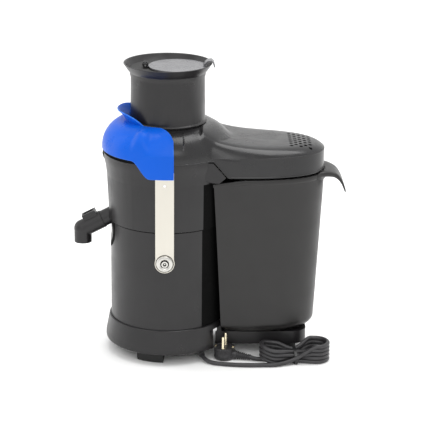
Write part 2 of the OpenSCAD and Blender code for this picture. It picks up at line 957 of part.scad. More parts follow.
function swept(path, r, sides = 10) = [for (i = [0 : len(path) - 1])
    let (
        a = path[max(0, i - 1)],
        b = path[min(len(path) - 1, i + 1)],
        d = (b - a) / norm(b - a),
        u = let (c = cross([0, 0, 1], d)) c / norm(c),
        v = cross(d, u)
    )
    [for (k = [0 : sides - 1]) path[i] + r * (u * cos(360 * k / sides) + v * sin(360 * k / sides))]];

module mains_cord() {
    color(dark)
    at_spindle() {
        loft(swept(cord_route, cord_d / 2));
        loft(swept(lead_route, cord_d / 2));
    }
}

module at_hank() {
    at_spindle()
        translate(hank_at)
            rotate(hank_turn) children();
}

// Two stacks of folds with the lower tied middle between them.
module cord_hank() {
    color(dark)
    at_hank()
        union() {
            for (side = [-1, 1])
                translate([side * hank_half, 0, 0.4]) cylinder(h = hank_h, r = hank_r);
            translate([-hank_half, -20.4, 0.4]) cube([2 * hank_half, 35, 19.6]);
        }
}

module cord_tie() {
    color(dark)
    at_hank()
        translate([-2.5, -22, 0.1])
            difference() {
                cube([5, 38.2, 21.3]);
                translate([-1, 1.4, 0.25]) cube([7, 35.4, 19.7]);
            }
}

module at_plug() {
    at_spindle()
        translate(plug_at)
            rotate(plug_turn) children();
}

module plug_body() {
    color(dark)
    at_plug()
        union() {
            translate([0, 0, 0.2]) cylinder(h = 3, r1 = plug_r - 2, r2 = plug_r - 0.5);
            translate([0, 0, 3.2]) cylinder(h = plug_h - 5.2, r = plug_r - 0.5);
            translate([0, 0, plug_h - 2]) cylinder(h = 2, r = plug_r);
            translate([8, -6.5, 1]) cube([10, 13, 14]);
        }
}

module plug_pins() {
    color(steel)
    at_plug()
        for (side = [-1, 1])
            translate([0, side * 9.5, plug_h]) {
                cylinder(h = 17, r = 2.4);
                translate([0, 0, 17]) cylinder(h = 2, r1 = 2.4, r2 = 1.2);
            }
}

module plug_relief() {
    color(dark)
    at_plug()
        translate([18, 0, 7.6])
            rotate([0, 95, 0]) {
                cylinder(h = 23, r1 = 5.6, r2 = 4);
                for (i = [0 : 4])
                    translate([0, 0, 3 + i * 3.6]) cylinder(h = 1.8, r = 6 - i * 0.4);
            }
}

base();
bottom_plate();
foot_front_near();
foot_front_far();
foot_rear_near();
foot_rear_far();
plate_screws();
motor_housing();
motor_plate();
motor_dampers();
motor_screws();
end_bell_lower();
end_bell_upper();
bearing_lower();
bearing_upper();
motor_stator();
motor_windings();
motor_rotor();
motor_shaft();
cooling_fan();
shaft_seal();
drive_coupling();
filter_basket();
grating_disc();
basket_nut();
juice_bowl();
spout_neck();
bowl_catch();
bowl_gasket();
spout_o_ring();
spout_elbow();
lid();
feed_tube();
feed_chute();
flap_bracket();
flap_pin();
feed_flap();
pivot_bosses();
pivot_screws();
pivot_cups();
clamp_bar_near();
clamp_bar_far();
clamp_yoke();
yoke_screws();
pulp_bin();
safety_switch();
switch_frame();
switch_rocker();
cord_gland();
mains_cord();
cord_hank();
cord_tie();
plug_relief();
plug_body();
plug_pins();
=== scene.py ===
"""Centrifugal juicer: detailed pieces, materials, cord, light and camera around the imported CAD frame."""
import json
import math

import bmesh
import bpy
from mathutils import Matrix, Vector


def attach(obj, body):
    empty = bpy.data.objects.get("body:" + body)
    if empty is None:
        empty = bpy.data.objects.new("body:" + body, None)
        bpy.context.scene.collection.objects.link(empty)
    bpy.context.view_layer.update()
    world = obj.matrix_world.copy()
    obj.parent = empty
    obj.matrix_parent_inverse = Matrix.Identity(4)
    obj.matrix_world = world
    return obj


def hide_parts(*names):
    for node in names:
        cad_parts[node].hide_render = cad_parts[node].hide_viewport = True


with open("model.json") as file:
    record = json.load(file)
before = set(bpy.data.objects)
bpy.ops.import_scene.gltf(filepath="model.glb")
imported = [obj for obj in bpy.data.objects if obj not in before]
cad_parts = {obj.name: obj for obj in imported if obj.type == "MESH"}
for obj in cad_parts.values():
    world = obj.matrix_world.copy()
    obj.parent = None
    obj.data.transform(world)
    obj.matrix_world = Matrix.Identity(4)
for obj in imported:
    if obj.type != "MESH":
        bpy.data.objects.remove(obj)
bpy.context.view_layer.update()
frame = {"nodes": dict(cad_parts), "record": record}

# Lengths are in millimetres and angles in radians. X is measured from the spindle and Z from the floor.
MM = 0.001
SPINDLE_X = -66.0
WALL = 3.0
HOUSING_R = 88.5
BOWL_R = 91.0
TUBE_R = 57.0
DOME_R = 96.5
DOME_EDGE_Z = 325.0
DOME_H = 40.0
# The lid's hood and the bin below it run straight to HOOD_MID and then round off.
HOOD_W = 74.0
HOOD_MID = 118.0
HOOD_END = 240.0
HOOD_BASE_Z = 312.0
HOOD_TOP_Z = 336.0
END_ROUND = 0.87
RIDGE_X = 52.0
RIDGE_Z = 362.0
RIM_Z = 319.0
SKIRT_Z = 294.0
BIN_Z0 = 38.0
BIN_Z1 = 290.0
BIN_W = 70.0
PIVOT = (-4.8, 167.4)
PIVOT_FACE = 97.5
# The blue clamp: the foot and inner radius of its dome, the angle that its lip reaches to either side,
# and the height of the crease of its arms.
YOKE_EDGE_Z = 327.0
YOKE_INNER = 59.0
LIP_HALF = 56
CREASE_Z = 335.5
# Painted shade: the near-black panel on the body's side that faces the bin, where the gap to the bin lies in
# shade.
BIN_SIDE_SHADE_HALF = math.radians(54)
BIN_SIDE_SHADE_FOOT = 56.0
BIN_SIDE_SHADE_TOP = 284.0
# Painted shade behind the spout: a near-black U band of two straight legs joined by an arc.
SHADE_U_LEG = 0.38
SHADE_U_REACH = 28.0
SHADE_U_WIDTH = 8.0
SHADE_U_BEND_Z = 196.0
SHADE_U_TOP_Z = 213.4
SHADE_U_DROP = 22.0
GLAND_AT = (46.0, -50.0)
PLUG_AT = (87.5, -61.5)
PLUG_TURN = math.radians(-14)
HANK_AT = (196.0, -70.0)
HANK_TURN = math.radians(5)
CORD_D = 6.5
CAMERA_AT = (0.0, -2635.0, 1050.0)
CAMERA_PITCH = math.radians(17.6)
CAMERA_YAW = math.radians(1.59)
CAMERA_ROLL = math.radians(0.5)
CAMERA_LENS = 149.28
SENSOR_WIDTH = 36.0


# --- small helpers -------------------------------------------------------------------------------

def at(x, y, z):
    """A point given in millimetres from the spindle, in the row frame in metres."""
    return Vector(((x + SPINDLE_X) * MM, y * MM, z * MM))


def mix(a, b, t):
    """The value a part t of the way from a to b."""
    return a + (b - a) * t


def smooth(t):
    """A soft step from 0 to 1 while t goes from 0 to 1."""
    u = min(max(t, 0.0), 1.0)
    return u * u * (3 - 2 * u)


def spow(v, p):
    """A power that keeps the sign, for rounded outlines."""
    return math.copysign(abs(v) ** p, v)


def soften(loop, radius, steps=4):
    """Rounds the corners of a 2D outline."""
    out = []
    count = len(loop)
    for i, corner in enumerate(loop):
        b = Vector(corner)
        a, c = Vector(loop[i - 1]), Vector(loop[(i + 1) % count])
        before, after = (a - b), (c - b)
        if before.length < 1e-6 or after.length < 1e-6:
            continue
        turn = math.pi - before.angle(after)
        if turn < 0.12:
            out.append((b.x, b.y))
            continue
        cut = min(radius, before.length * 0.45, after.length * 0.45)
        p, q = b + before.normalized() * cut, b + after.normalized() * cut
        for k in range(steps + 1):
            t = k / steps
            r = p * (1 - t) ** 2 + b * (2 * t * (1 - t)) + q * t * t
            out.append((r.x, r.y))
    return out


def piece(name, points, faces, body, finish, slot, replaces=(), angle=40):
    """A mesh piece from points in millimetres, riding on a body."""
    me = bpy.data.meshes.new(name)
    me.from_pydata([at(*p) for p in points], [], faces)
    bm = bmesh.new()
    bm.from_mesh(me)
    bmesh.ops.remove_doubles(bm, verts=bm.verts, dist=2e-6)
    bmesh.ops.recalc_face_normals(bm, faces=bm.faces)
    mark_edges(bm)
    bm.to_mesh(me)
    bm.free()
    me.shade_smooth()
    me.set_sharp_from_angle(angle=math.radians(angle))
    obj = bpy.data.objects.new(name, me)
    bpy.context.scene.collection.objects.link(obj)
    me.materials.append(finish)
    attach(obj, body)
    if replaces:
        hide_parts(*replaces)
    return obj


WEAR_GAIN = 1.1
WEAR_START = 0.12


def mark_edges(bm):
    """Stores how tightly the surface bends outwards at each point, for wear along edges."""
    layer = bm.verts.layers.float.new("edge_wear")
    for edge in bm.edges:
        if len(edge.link_faces) != 2:
            continue
        a, b = edge.link_faces
        gap = (a.calc_center_median() - b.calc_center_median()).length / MM
        bend = edge.calc_face_angle_signed(0.0) / max(gap, 0.05)
        value = min(1.0, max(0.0, bend * WEAR_GAIN - WEAR_START))
        for v in edge.verts:
            v[layer] = max(v[layer], value)


def skin(rings, closed_round=True, closed_along=False, caps=True):
    """Points and faces of a skin through rings of equal counts."""
    count, total = len(rings[0]), len(rings)
    points = [p for ring in rings for p in ring]
    faces = []
    for k in range(total if closed_along else total - 1):
        n = (k + 1) % total
        for i in range(count if closed_round else count - 1):
            j = (i + 1) % count
            faces.append((k * count + i, k * count + j, n * count + j, n * count + i))
    if caps and not closed_along:
        faces.append(tuple(reversed(range(count))))
        faces.append(tuple((total - 1) * count + i for i in range(count)))
    return points, faces


def lathe(profile, segments=144, centre=(0.0, 0.0)):
    """A closed profile of (radius, height) turned about an upright axis."""
    rings = []
    for k in range(segments):
        a = 2 * math.pi * k / segments
        c, s = math.cos(a), math.sin(a)
        rings.append([(centre[0] + r * c, centre[1] + r * s, z) for r, z in profile])
    return skin(rings, closed_round=True, closed_along=True)


def arc_band(profile, first, last, steps):
    """A closed profile of (radius, height) carried round the spindle between two angles in degrees."""
    rings = []
    for k in range(steps + 1):
        a = math.radians(mix(first, last, k / steps))
        rings.append([(r * math.cos(a), r * math.sin(a), z) for r, z in profile])
    return skin(rings)


def heading(tilt, turn):
    """A direction tilted from upright and turned from +X, in degrees."""
    t, a = math.radians(tilt), math.radians(turn)
    return (math.sin(t) * math.cos(a), math.sin(t) * math.sin(a), math.cos(t))


def placed(shape, origin, direction):
    """Moves a shape made about +Z so that +Z points along direction."""
    points, faces = shape
    turn = Vector((0, 0, 1)).rotation_difference(Vector(direction)).to_matrix()
    start = Vector(origin)
    return [tuple(start + turn @ Vector(p)) for p in points], faces


def joined(*shapes):
    """Several shapes as one list of points and one of faces."""
    points, faces = [], []
    for p, f in shapes:
        base = len(points)
        points += list(p)
        faces += [tuple(i + base for i in face) for face in f]
    return points, faces


def extruded(outline, y0, y1, edge=0.8, steps=3):
    """An outline in X and Z pushed along Y, with rounded long edges."""
    rings = []
    for k in range(steps + 1):
        t = math.pi / 2 * k / steps
        rings.append((y0 + edge * (1 - math.sin(t)), edge * (1 - math.cos(t))))
    rings += [(y0 + y1 - y, inset) for y, inset in reversed(rings)]
    out = []
    for y, inset in rings:
        out.append([(p[0], y, p[1]) for p in shrunk(outline, inset)])
    return skin(out)


def shrunk(outline, inset):
    """The outline moved inwards by inset."""
    if inset < 1e-6:
        return list(outline)
    count = len(outline)
    area = 0.0
    for i, (x, z) in enumerate(outline):
        next_x, next_z = outline[(i + 1) % count]
        area += x * next_z - next_x * z
    side = 1 if area > 0 else -1
    out = []
    for i in range(count):
        a, b, c = Vector(outline[i - 1]), Vector(outline[i]), Vector(outline[(i + 1) % count])
        u, v = (b - a).normalized(), (c - b).normalized()
        n = Vector((-(u.y + v.y), u.x + v.x)) * side
        n = n.normalized() if n.length > 1e-6 else Vector((0, 0))
        out.append(tuple(b + n * inset))
    return out


# --- materials -----------------------------------------------------------------------------------

def noise(tree, coords, scale, detail=3.0, stretch=None):
    """A noise value over the surface, drawn out along an axis by stretch."""
    source = coords
    if stretch:
        mapping = tree.nodes.new("ShaderNodeMapping")
        tree.links.new(coords, mapping.inputs["Vector"])
        mapping.inputs["Scale"].default_value = stretch
        source = mapping.outputs["Vector"]
    node = tree.nodes.new("ShaderNodeTexNoise")
    tree.links.new(source, node.inputs["Vector"])
    node.inputs["Scale"].default_value = scale
    node.inputs["Detail"].default_value = detail
    return node.outputs["Fac"]


def ranged(tree, value, low, high, to_low, to_high):
    """A value carried from one range to another."""
    node = tree.nodes.new("ShaderNodeMapRange")
    tree.links.new(value, node.inputs["Value"])
    for key, number in (("From Min", low), ("From Max", high), ("To Min", to_low), ("To Max", to_high)):
        node.inputs[key].default_value = number
    return node.outputs["Result"]


def blended(tree, factor, a, b):
    """A colour mix; a and b are colours or sockets."""
    node = tree.nodes.new("ShaderNodeMix")
    node.data_type = "RGBA"
    tree.links.new(factor, node.inputs[0])
    for socket, value in ((node.inputs[6], a), (node.inputs[7], b)):
        if isinstance(value, bpy.types.NodeSocket):
            tree.links.new(value, socket)
        else:
            socket.default_value = (*value, 1.0)
    return node.outputs[2]


def scaled(colour, by):
    """A colour made lighter or darker."""
    return tuple(min(1.0, c * by) for c in colour)


def finish_of(name, colour, rough, metal=0.0, grain=2600.0, grain_depth=0.02, patch=9.0, patch_by=0.16,
              rough_by=0.07, wear=0.0, wear_colour=None, brushed=None, specular=0.5, scuffs=0.0):
    """A moulded or brushed finish: colour drifts, fine grain, uneven gloss, scuffs and edge wear."""
    mat = bpy.data.materials.new(name)
    mat.use_nodes = True
    tree = mat.node_tree
    shader = tree.nodes["Principled BSDF"]
    coords = tree.nodes.new("ShaderNodeTexCoord").outputs["Object"]
    drift = ranged(tree, noise(tree, coords, patch, 2.0), 0.3, 0.7, 0.0, 1.0)
    tone = blended(tree, drift, scaled(colour, 1 - patch_by), scaled(colour, 1 + patch_by))
    speck = ranged(tree, noise(tree, coords, grain * 0.5, 1.0), 0.35, 0.65, 0.0, 1.0)
    tone = blended(tree, ranged(tree, speck, 0, 1, 0, 0.35), tone, scaled(colour, 1 + patch_by * 1.4))
    if scuffs:
        mark = ranged(tree, noise(tree, coords, 60.0, 6.0, (1.0, 1.0, 0.25)), 0.66, 0.74, 0.0, scuffs)
        tone = blended(tree, mark, tone, scaled(colour, 1.7))
    if wear:
        edge = tree.nodes.new("ShaderNodeAttribute")
        edge.attribute_name = "edge_wear"
        broken = ranged(tree, noise(tree, coords, 130.0, 4.0), 0.35, 0.62, 0.25, 1.0)
        both = tree.nodes.new("ShaderNodeMath")
        both.operation = "MULTIPLY"
        tree.links.new(edge.outputs["Fac"], both.inputs[0])
        tree.links.new(broken, both.inputs[1])
        worn = ranged(tree, both.outputs[0], 0, 1, 0, wear)
        tone = blended(tree, worn, tone, wear_colour or scaled(colour, 2.2))
    tree.links.new(tone, shader.inputs["Base Color"])
    uneven = noise(tree, coords, 34.0, 4.0, brushed and tuple(0.25 * s for s in brushed))
    gloss = ranged(tree, uneven, 0.3, 0.7, rough - rough_by, rough + rough_by)
    tree.links.new(gloss, shader.inputs["Roughness"])
    shader.inputs["Metallic"].default_value = metal
    shader.inputs["Specular IOR Level"].default_value = specular
    height = noise(tree, coords, grain, 2.0, brushed)
    bump = tree.nodes.new("ShaderNodeBump")
    bump.inputs["Strength"].default_value = 0.35
    bump.inputs["Distance"].default_value = grain_depth * MM
    tree.links.new(height, bump.inputs["Height"])
    tree.links.new(bump.outputs["Normal"], shader.inputs["Normal"])
    return mat


CHARCOAL = (0.0090, 0.0083, 0.0090)
BODY = finish_of("charcoal_plastic", CHARCOAL, 0.34, wear=0.55, scuffs=0.12, grain_depth=0.05, specular=0.45)
BIN = finish_of("bin_plastic", (0.0094, 0.0086, 0.0084), 0.36, wear=0.5, scuffs=0.10, grain_depth=0.05,
                specular=0.45)
GLOSSY = finish_of("lid_plastic", (0.0088, 0.0085, 0.0092), 0.24, wear=0.5, scuffs=0.10, grain_depth=0.03,
                   specular=0.47)
BLACK = finish_of("black_plastic", (0.005, 0.005, 0.0055), 0.38, wear=0.4, grain_depth=0.04)
FLAP = finish_of("flap_plastic", (0.105, 0.105, 0.112), 0.22, wear=0.3, scuffs=0.15, grain_depth=0.03)
BLUE = finish_of("clamp_blue", (0.0, 0.086, 0.53), 0.33, patch_by=0.06, wear=0.5,
                 wear_colour=(0.08, 0.32, 0.85), grain_depth=0.02, specular=0.18)
RUBBER = finish_of("rubber_black", (0.009, 0.009, 0.009), 0.72, grain=1500.0, grain_depth=0.12)
STEEL = finish_of("brushed_steel", (0.60, 0.575, 0.515), 0.34, metal=1.0, grain=60.0, grain_depth=0.03,
                  patch_by=0.03, brushed=(60.0, 60.0, 1.2), rough_by=0.06)
BRIGHT = finish_of("bright_steel", (0.56, 0.55, 0.52), 0.2, metal=1.0, grain=900.0, grain_depth=0.01,
                   patch_by=0.06)
CAST = finish_of("cast_aluminium", (0.55, 0.55, 0.56), 0.5, metal=1.0, grain=700.0, grain_depth=0.15)
LAMINATED = finish_of("motor_laminations", (0.32, 0.32, 0.33), 0.45, metal=1.0, grain=40.0,
                      grain_depth=0.2, brushed=(1.0, 1.0, 50.0))
COPPER = finish_of("copper_winding", (0.72, 0.3, 0.12), 0.3, metal=1.0, grain=90.0, grain_depth=0.2,
                   brushed=(1.0, 1.0, 20.0))
GREEN = finish_of("rocker_green", (0.02, 0.3, 0.08), 0.3, wear=0.3, grain_depth=0.02)
PVC = finish_of("cord_pvc", (0.026, 0.025, 0.027), 0.40, grain=1300.0, grain_depth=0.06, patch=40.0,
                patch_by=0.25)
PIN_METAL = finish_of("plug_metal", (0.80, 0.72, 0.52), 0.24, metal=1.0, grain=1200.0, grain_depth=0.02)
# Painted shade: a near-black, almost unreflecting finish for the bands that stand in for shade in gaps,
# grooves and round the pivots.
SHADE_BLACK = finish_of("painted_shade_black", (0.003, 0.003, 0.003), 0.8, grain=900.0, grain_depth=0.1, specular=0.08)

SLOT_FINISH = {
    "housing_plastic": BODY, "bin_plastic": BIN, "black_plastic": BLACK, "flap_plastic": FLAP,
    "clamp_blue": BLUE, "rubber_black": RUBBER, "brushed_steel": STEEL, "bright_steel": BRIGHT,
    "cast_aluminium": CAST, "motor_laminations": LAMINATED, "copper_winding": COPPER,
    "rocker_green": GREEN, "cord_pvc": PVC, "plug_metal": PIN_METAL,
}


def dress_cad_nodes():
    """Gives every CAD node that shows its slot's finish."""
    for entry in frame["record"]["materials"]:
        for name in entry.get("nodes", []):
            obj = frame["nodes"].get(name)
            if obj is None:
                continue
            obj.data.materials.clear()
            obj.data.materials.append(SLOT_FINISH[entry["slot"]])


# --- camera, floor and light ---------------------------------------------------------------------

def make_camera():
    """The camera looks along +Y, a little down, turned and rolled."""
    flat = math.cos(CAMERA_PITCH)
    forward = Vector((math.sin(CAMERA_YAW) * flat, math.cos(CAMERA_YAW) * flat, -math.sin(CAMERA_PITCH)))
    right = Vector((math.cos(CAMERA_YAW), -math.sin(CAMERA_YAW), 0.0))
    up = right.cross(forward)
    side = right * math.cos(CAMERA_ROLL) + up * math.sin(CAMERA_ROLL)
    top = up * math.cos(CAMERA_ROLL) - right * math.sin(CAMERA_ROLL)
    data = bpy.data.cameras.new("camera")
    data.sensor_width = SENSOR_WIDTH
    data.lens = CAMERA_LENS
    data.clip_end = 50.0
    cam = bpy.data.objects.new("camera", data)
    turn = Matrix((side, top, -forward)).transposed().to_4x4()
    cam.matrix_world = Matrix.Translation(at(*CAMERA_AT)) @ turn
    bpy.context.scene.collection.objects.link(cam)
    bpy.context.scene.camera = cam


def area_light(name, place, target, size, power):
    """A soft rectangular light at a place, aimed at a target, in metres and watts."""
    data = bpy.data.lights.new(name, "AREA")
    data.shape = "RECTANGLE"
    data.size, data.size_y = size
    data.energy = power
    obj = bpy.data.objects.new(name, data)
    obj.location = Vector(place)
    obj.rotation_euler = (Vector(target) - Vector(place)).to_track_quat("-Z", "Y").to_euler()
    bpy.context.scene.collection.objects.link(obj)


def make_floor():
    """A pale paper floor that sweeps up behind the object, in metres."""
    paper_mat = bpy.data.materials.new("floor_paper")
    paper_mat.use_nodes = True
    tree = paper_mat.node_tree
    shader = tree.nodes["Principled BSDF"]
    coords = tree.nodes.new("ShaderNodeTexCoord").outputs["Object"]
    paper = blended(tree, noise(tree, coords, 2.0), (0.93, 0.93, 0.925), (0.96, 0.96, 0.955))
    tree.links.new(paper, shader.inputs["Base Color"])
    shader.inputs["Roughness"].default_value = 0.9
    shader.inputs["Specular IOR Level"].default_value = 0.1
    half_width, front, back, sweep = 9.0, -4.0, 3.2, 2.2
    level_part = 0.6
    rows = []
    for k in range(25):
        t = k / 24
        if t < level_part:
            y, z = mix(front, back, t / level_part), 0.0
        else:
            a = (t - level_part) / (1 - level_part) * math.pi / 2
            y, z = back + sweep * math.sin(a), sweep * (1 - math.cos(a))
        rows.append([(-half_width, y, z), (half_width, y, z)])
    points, faces = skin(rows, closed_round=False, caps=False)
    me = bpy.data.meshes.new("floor")
    me.from_pydata(points, [], faces)
    me.shade_smooth()
    me.materials.append(paper_mat)
    floor = bpy.data.objects.new("floor", me)
    bpy.context.scene.collection.objects.link(floor)


def make_light():
    """An even white room with soft lights above, in front and at both sides."""
    world = bpy.data.worlds.new("studio")
    bpy.context.scene.world = world
    world.use_nodes = True
    background = world.node_tree.nodes["Background"]
    background.inputs["Color"].default_value = (1.0, 1.0, 1.0, 1.0)
    background.inputs["Strength"].default_value = 1.0
    bpy.context.scene.view_settings.view_transform = "Standard"
    area_light("key", (-1.3, -1.6, 2.3), (0.0, 0.0, 0.2), (1.6, 1.6), 7.0)
    area_light("top", (0.2, 0.3, 2.4), (0.0, 0.0, 0.2), (2.2, 1.6), 40.0)
    area_light("front", (0.1, -3.0, 1.75), (0.0, 0.0, 0.3), (2.6, 1.1), 17.0)
    area_light("rim_left", (-1.9, 0.5, 0.9), (0.0, 0.0, 0.25), (0.6, 1.8), 4.0)
    area_light("rim_right", (2.0, 0.4, 0.9), (0.0, 0.0, 0.25), (0.6, 1.8), 4.0)


# --- mains cord ----------------------------------------------------------------------------------

# The lead from the gland to the hank, and from the hank to the plug.
CORD_ROUTE = [
    (49.2, -58.8, 10.4), (53.4, -70.3, 8.2), (56.6, -77.4, 6.2), (62, -84, 4.4), (71, -89.5, 3.5),
    (84, -93.5, 3.5), (97, -96.2, 3.5), (110, -97.8, 3.5), (123, -98.6, 3.5), (136, -98.8, 3.5),
    (146, -98.4, 3.5),
]
LEAD_ROUTE = [
    (141, -73.9, 3.5), (137.6, -73.9, 3.7), (134, -73.4, 4.4), (130.6, -72.4, 5), (127.6, -71.5, 5.6),
]
# The hank: half the distance between its folds, their radius and the height of each layer.
HANK_HALF = 32.3
FOLD_R = 19.4
LAYER = 6.2
RIGHT_LEVELS = [28.4 - LAYER * k for k in range(5)]
LEFT_LEVELS = [22.2 - LAYER * k for k in range(4)]
# Where each run passes through the tie, as (across, height).
NEAR_SLOTS = [(-6.5, 16.6), (-11.5, 12.2), (-6.5, 7.8), (-11.5, 3.8)]
FAR_SLOTS = [(6.5, 16.8), (11.5, 12.4), (6.5, 8.0), (11.5, 3.8)]
LEAD_SLOT = (0.0, 3.7)


def hank_point(x, y, z):
    """A point of the hank, from its own middle and direction."""
    c, s = math.cos(HANK_TURN), math.sin(HANK_TURN)
    return (HANK_AT[0] + x * c - y * s, HANK_AT[1] + x * s + y * c, z)


def fold(side, start_z, end_z, tip_lift, start_open, end_open):
    """One fold of the hank as an arc that opens at its tie side, from near to far on the right."""
    out = []
    first, last = -(90 + start_open), 90 + end_open
    for k in range(9):
        t = k / 8
        a = math.radians(mix(first, last, t))
        lift = tip_lift * math.sin(math.pi * t) ** 2
        x = HANK_HALF + FOLD_R * math.cos(a)
        y = FOLD_R * math.sin(a)
        out.append(hank_point(side * x, side * y, mix(start_z, end_z, t) + lift))
    return out


def hank_route():
    """The hank's points, from the gland's lead through every fold to the plug's lead."""
    route = [hank_point(-34, -25.2, 3.8), hank_point(-17, -22.0, 5.6), hank_point(0, -17.8, 9.8),
             hank_point(14, -18.6, 18.6)]
    route += fold(1, 27.6, RIGHT_LEVELS[0], 0.4, 8, 22)
    for k in range(4):
        route.append(hank_point(0, *FAR_SLOTS[k]))
        route += fold(-1, LEFT_LEVELS[k], LEFT_LEVELS[k], 6.4, 24, 22)
        route.append(hank_point(0, *NEAR_SLOTS[k]))
        route += fold(1, RIGHT_LEVELS[k + 1], RIGHT_LEVELS[k + 1], 0.0, 22, 24 if k < 3 else 34)
    route += [hank_point(0, *LEAD_SLOT), hank_point(-14, -2.4, 3.6), hank_point(-30, -2.4, 3.6),
              hank_point(-44, -1.4, 3.5)]
    return route


def make_cord():
    """The whole mains cord as one smooth curve through its points."""
    points = [at(*p) for p in CORD_ROUTE + hank_route() + LEAD_ROUTE]
    curve = bpy.data.curves.new("cord", "CURVE")
    curve.dimensions = "3D"
    curve.bevel_depth = CORD_D / 2 * MM
    curve.bevel_resolution = 5
    curve.resolution_u = 8
    curve.use_fill_caps = True
    spline = curve.splines.new("BEZIER")
    spline.bezier_points.add(len(points) - 1)
    for i, (knot, p) in enumerate(zip(spline.bezier_points, points)):
        a, b = points[max(0, i - 1)], points[min(len(points) - 1, i + 1)]
        along = (b - a).normalized()
        knot.co = p
        knot.handle_left_type = knot.handle_right_type = "FREE"
        knot.handle_left = p - along * (p - a).length / 3
        knot.handle_right = p + along * (b - p).length / 3
    curve.materials.append(PVC)
    cord = bpy.data.objects.new("mains_cord_curve", curve)
    bpy.context.scene.collection.objects.link(cord)
    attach(cord, "machine")
    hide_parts("mains_cord", "cord_hank")
    return cord


def plug_local(x, y, z):
    """A point of the plug, from its own middle and direction."""
    c, s = math.cos(PLUG_TURN), math.sin(PLUG_TURN)
    return (PLUG_AT[0] + x * c - y * s, PLUG_AT[1] + x * s + y * c, z)


def moved(shape, place):
    """A shape with every point passed through a placing function."""
    points, faces = shape
    return [place(*p) for p in points], faces


def ribs(count, start, step, radius, taper, depth):
    """The ribbed part of a strain relief's profile."""
    out = []
    for i in range(count):
        z, r = start + i * step, radius - i * taper
        out += [(r - depth, z), (r - depth, z + 0.9), (r, z + 1.2), (r, z + 2.6), (r - depth, z + 2.9)]
    return out


def plug_shell():
    """The round plug with finger grips, a bridge across its face and a neck for the cord."""
    profile = [(0.01, 0.3), (13.6, 0.3), (15.0, 1.6), (15.6, 4.4), (15.6, 6.2), (15.2, 6.7), (15.6, 7.2),
               (15.6, 17.2), (16.3, 18.2), (16.3, 19.8), (14.6, 20.0), (14.2, 18.8), (0.01, 18.8)]
    puck = soften(profile, 0.5, 3)
    grip_foot, grip_top, grip_r, grip_count = 7.4, 17.0, 14, 24
    rings = []
    for k in range(96):
        a = 2 * math.pi * k / 96
        grip = 0.55 * (0.5 + 0.5 * math.cos(a * grip_count)) * smooth((abs(math.sin(a)) - 0.45) / 0.2)
        ring = []
        for r, z in puck:
            cut = grip if grip_foot < z < grip_top and r > grip_r else 0.0
            ring.append(((r - cut) * math.cos(a), (r - cut) * math.sin(a), z))
        rings.append(ring)
    body = skin(rings, closed_along=True)
    bridge_outline = soften([(-13.6, 18.4), (13.6, 18.4), (13.6, 19.9), (-13.6, 19.9)], 0.5)
    bridge = extruded(bridge_outline, -5.4, 5.4, 0.5)
    bridge = ([(p[1], p[0], p[2]) for p in bridge[0]], bridge[1])
    neck = []
    for k in range(9):
        t = k / 8
        x, half_w, half_h = mix(10, 18.6, t), mix(7.6, 6.2, t), mix(7.4, 6.0, t)
        ring = []
        for i in range(40):
            b = 2 * math.pi * i / 40
            ring.append((x, half_w * spow(math.cos(b), 0.6), 7.9 + half_h * spow(math.sin(b), 0.6)))
        neck.append(ring)
    shape = moved(joined(body, bridge, skin(neck)), plug_local)
    return piece("plug_shell", *shape, "machine", PVC, "cord_pvc", ("plug_body",), 35)


def plug_contacts():
    """Two round pins, each on its collar, and the earth clips on the rim."""
    profile = soften([(0.01, 18.6), (3.0, 18.6), (3.0, 20.4), (2.4, 20.6), (2.4, 37.4), (1.6, 38.8),
                      (0.01, 39.0)], 0.4, 3)
    clip_outline = soften([(12.6, 17.0), (16.1, 17.0), (16.1, 20.0), (12.6, 20.2)], 0.5)
    pin_reach = 9.5
    parts = []
    for side in (-1, 1):
        pin = lathe(profile, 40)
        parts.append(([(p[0], p[1] + side * pin_reach, p[2]) for p in pin[0]], pin[1]))
    for side in (-1, 1):
        clip = extruded(clip_outline, -2.2, 2.2, 0.3)
        parts.append(([(side * p[0], p[1], p[2]) for p in clip[0]], clip[1]))
    shape = moved(joined(*parts), plug_local)
    return piece("plug_contacts", *shape, "machine", PIN_METAL, "plug_metal", ("plug_pins",), 35)


def plug_relief():
    """The ribbed sleeve where the cord leaves the plug."""
    profile = [(3.3, -0.6), (6.4, -0.6), (6.4, 1.6)] + ribs(6, 2.4, 3.2, 6.2, 0.34, 1.2)
    profile += [(4.2, 22.0), (4.0, 24.0), (3.3, 24.0)]
    direction = heading(95, math.degrees(PLUG_TURN))
    shape = placed(lathe(soften(profile, 0.3, 2), 40), plug_local(18, 0, 7.6), direction)
    return piece("plug_strain_relief", *shape, "machine", PVC, "cord_pvc", ("plug_relief",), 35)


def make_gland():
    """The ribbed sleeve and its stem where the cord leaves the base."""
    profile = [(3.3, 0.0), (6.6, 0.0), (6.8, 3.0)] + ribs(5, 4.2, 3.4, 6.0, 0.32, 1.0)
    profile += [(4.4, 21.6), (4.2, 22.6), (3.3, 22.6)]
    cone = placed(lathe(soften(profile, 0.3, 2), 40), (*GLAND_AT, 12), heading(100, -70))
    stem_profile = [(0.01, 7.4), (7.2, 7.4), (7.9, 8.4), (7.9, 18.2), (0.01, 18.2)]
    stem = lathe(soften(stem_profile, 0.6), 48, GLAND_AT)
    return piece("cord_exit_relief", *joined(cone, stem), "machine", PVC, "cord_pvc", ("cord_gland",), 35)


